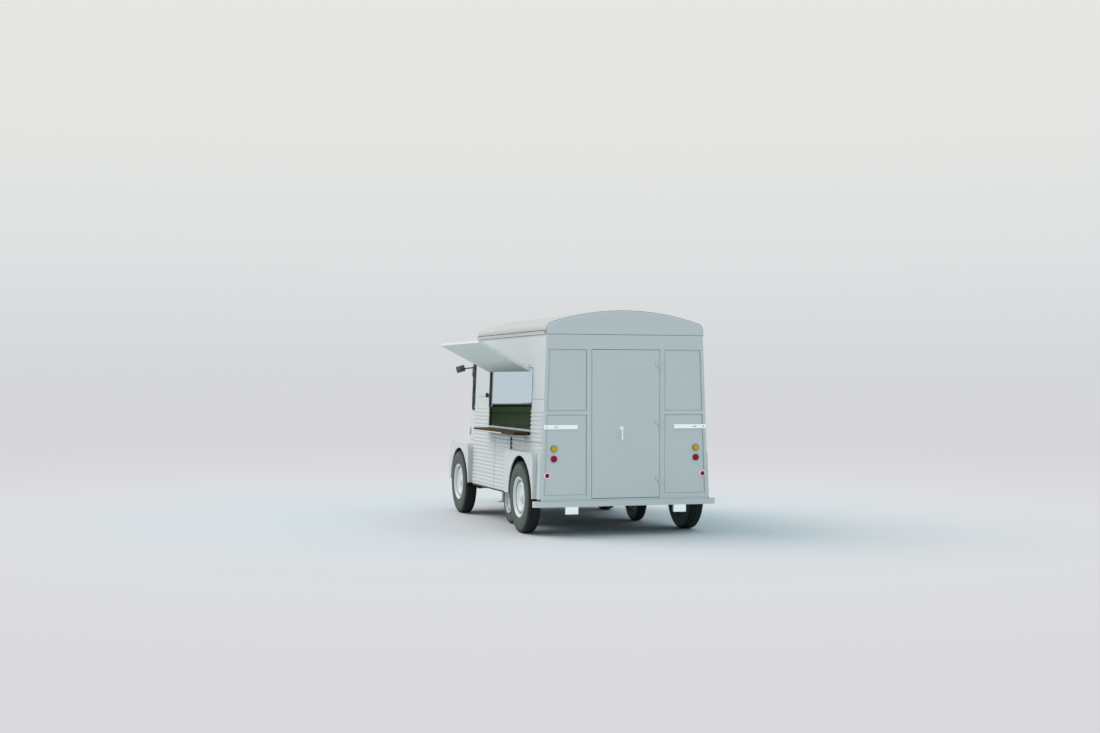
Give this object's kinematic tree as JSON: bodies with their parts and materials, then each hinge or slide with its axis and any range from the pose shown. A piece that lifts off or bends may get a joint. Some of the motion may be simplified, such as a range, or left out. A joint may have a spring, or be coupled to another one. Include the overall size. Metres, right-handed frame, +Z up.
{
  "type": "food trailer",
  "caption": "Food trailer in the shape of a vintage ribbed-side van, with a serving hatch, shelf, rear door, cab with worktop, road wheels, drawbar and jack.",
  "frame": {"origin": "on the ground under the centre of the whole outline, hatch and drawbar included", "axes": "+Y forward towards the drawbar, +X to the right as seen from behind, +Z up"},
  "size_m": [2.4307, 5.288, 2.2908],
  "materials": {
    "body_paint": "satin",
    "grille_metal": "satin",
    "headlamp": "polished",
    "floor_board": "matt",
    "chassis_steel": "satin",
    "coupling_steel": "galvanised",
    "shelf_wood": "oiled",
    "cabinet_green": "satin",
    "worktop_dark": "oiled",
    "clear_glass": "clear",
    "amber_lens": "gloss",
    "red_lens": "gloss",
    "white_trim": "gloss",
    "handle_chrome": "polished",
    "mirror_black": "gloss",
    "tyre_rubber": "matt",
    "rim_paint": "satin"
  },
  "bodies": {
    "trailer": {"side_left": "body_paint", "side_right": "body_paint", "roof": "body_paint", "rear_frame": "body_paint", "serving_sill": "body_paint", "serving_shelf": "shelf_wood", "shelf_brackets": "chassis_steel", "cab_frame": "body_paint", "windscreen": "clear_glass", "nose": "body_paint", "grille": "grille_metal", "front_wings": "body_paint", "rear_fenders": "body_paint", "headlamps": "headlamp", "floor": "floor_board", "chassis_frame": "chassis_steel", "axles": "chassis_steel", "drawbar": "chassis_steel", "tow_coupling": "coupling_steel", "rear_bumper": "body_paint", "front_bumper": "body_paint", "cabinet": "cabinet_green", "worktop": "worktop_dark", "amber_lamps": "amber_lens", "red_lamps": "red_lens", "rear_bars": "white_trim", "lamp_boxes": "white_trim"},
    "hatch": {"hatch": "body_paint"},
    "rear_door": {"rear_door": "body_paint", "door_handle": "handle_chrome"},
    "cab_door_left": {"cab_door_left": "body_paint", "door_glass_left": "clear_glass", "mirror_left": "mirror_black"},
    "cab_door_right": {"cab_door_right": "body_paint", "door_glass_right": "clear_glass", "mirror_right": "mirror_black"},
    "jack": {"jack": "coupling_steel"},
    "wheel_rear_left": {"tyre_rear_left": "tyre_rubber", "rim_rear_left": "rim_paint"},
    "wheel_rear_right": {"tyre_rear_right": "tyre_rubber", "rim_rear_right": "rim_paint"},
    "wheel_centre_left": {"tyre_centre_left": "tyre_rubber", "rim_centre_left": "rim_paint"},
    "wheel_centre_right": {"tyre_centre_right": "tyre_rubber", "rim_centre_right": "rim_paint"},
    "wheel_front_left": {"tyre_front_left": "tyre_rubber", "rim_front_left": "rim_paint"},
    "wheel_front_right": {"tyre_front_right": "tyre_rubber", "rim_front_right": "rim_paint"}
  },
  "joints": [
    {"name": "hatch_swing", "type": "hinge", "parent": "trailer", "child": "hatch", "pos_m": [-0.65151, -1.371, 1.7025], "axis": [0, 1, 0], "range_deg": [-115.5, 0]},
    {"name": "rear_door_swing", "type": "hinge", "parent": "trailer", "child": "rear_door", "pos_m": [0.58778, -2.616, 1.1], "axis": [0, 0, 1], "range_deg": [0, 110]},
    {"name": "jack_slide", "type": "slide", "parent": "trailer", "child": "jack", "axis": [0, 0, 1], "range_m": [0, 0.25]},
    {"name": "cab_door_left_swing", "type": "hinge", "parent": "trailer", "child": "cab_door_left", "pos_m": [-0.54678, 0.72334, 1.09966], "axis": [-0.0353, 0, -0.9994], "range_deg": [0, 65]},
    {"name": "cab_door_right_swing", "type": "hinge", "parent": "trailer", "child": "cab_door_right", "pos_m": [0.98734, 0.72334, 1.09966], "axis": [-0.0353, 0, 0.9994], "range_deg": [0, 65]},
    {"name": "wheel_rear_left_spin", "type": "hinge", "parent": "trailer", "child": "wheel_rear_left", "pos_m": [-0.67172, -2.015, 0.372], "axis": [1, 0, 0], "continuous": true},
    {"name": "wheel_rear_right_spin", "type": "hinge", "parent": "trailer", "child": "wheel_rear_right", "pos_m": [1.11228, -2.015, 0.372], "axis": [1, 0, 0], "continuous": true},
    {"name": "wheel_centre_left_spin", "type": "hinge", "parent": "trailer", "child": "wheel_centre_left", "pos_m": [-0.49572, -0.986, 0.255], "axis": [1, 0, 0], "continuous": true},
    {"name": "wheel_centre_right_spin", "type": "hinge", "parent": "trailer", "child": "wheel_centre_right", "pos_m": [0.93628, -0.986, 0.255], "axis": [1, 0, 0], "continuous": true},
    {"name": "wheel_front_left_spin", "type": "hinge", "parent": "trailer", "child": "wheel_front_left", "pos_m": [-0.67172, 0.544, 0.372], "axis": [1, 0, 0], "continuous": true},
    {"name": "wheel_front_right_spin", "type": "hinge", "parent": "trailer", "child": "wheel_front_right", "pos_m": [1.11228, 0.544, 0.372], "axis": [1, 0, 0], "continuous": true}
  ]
}
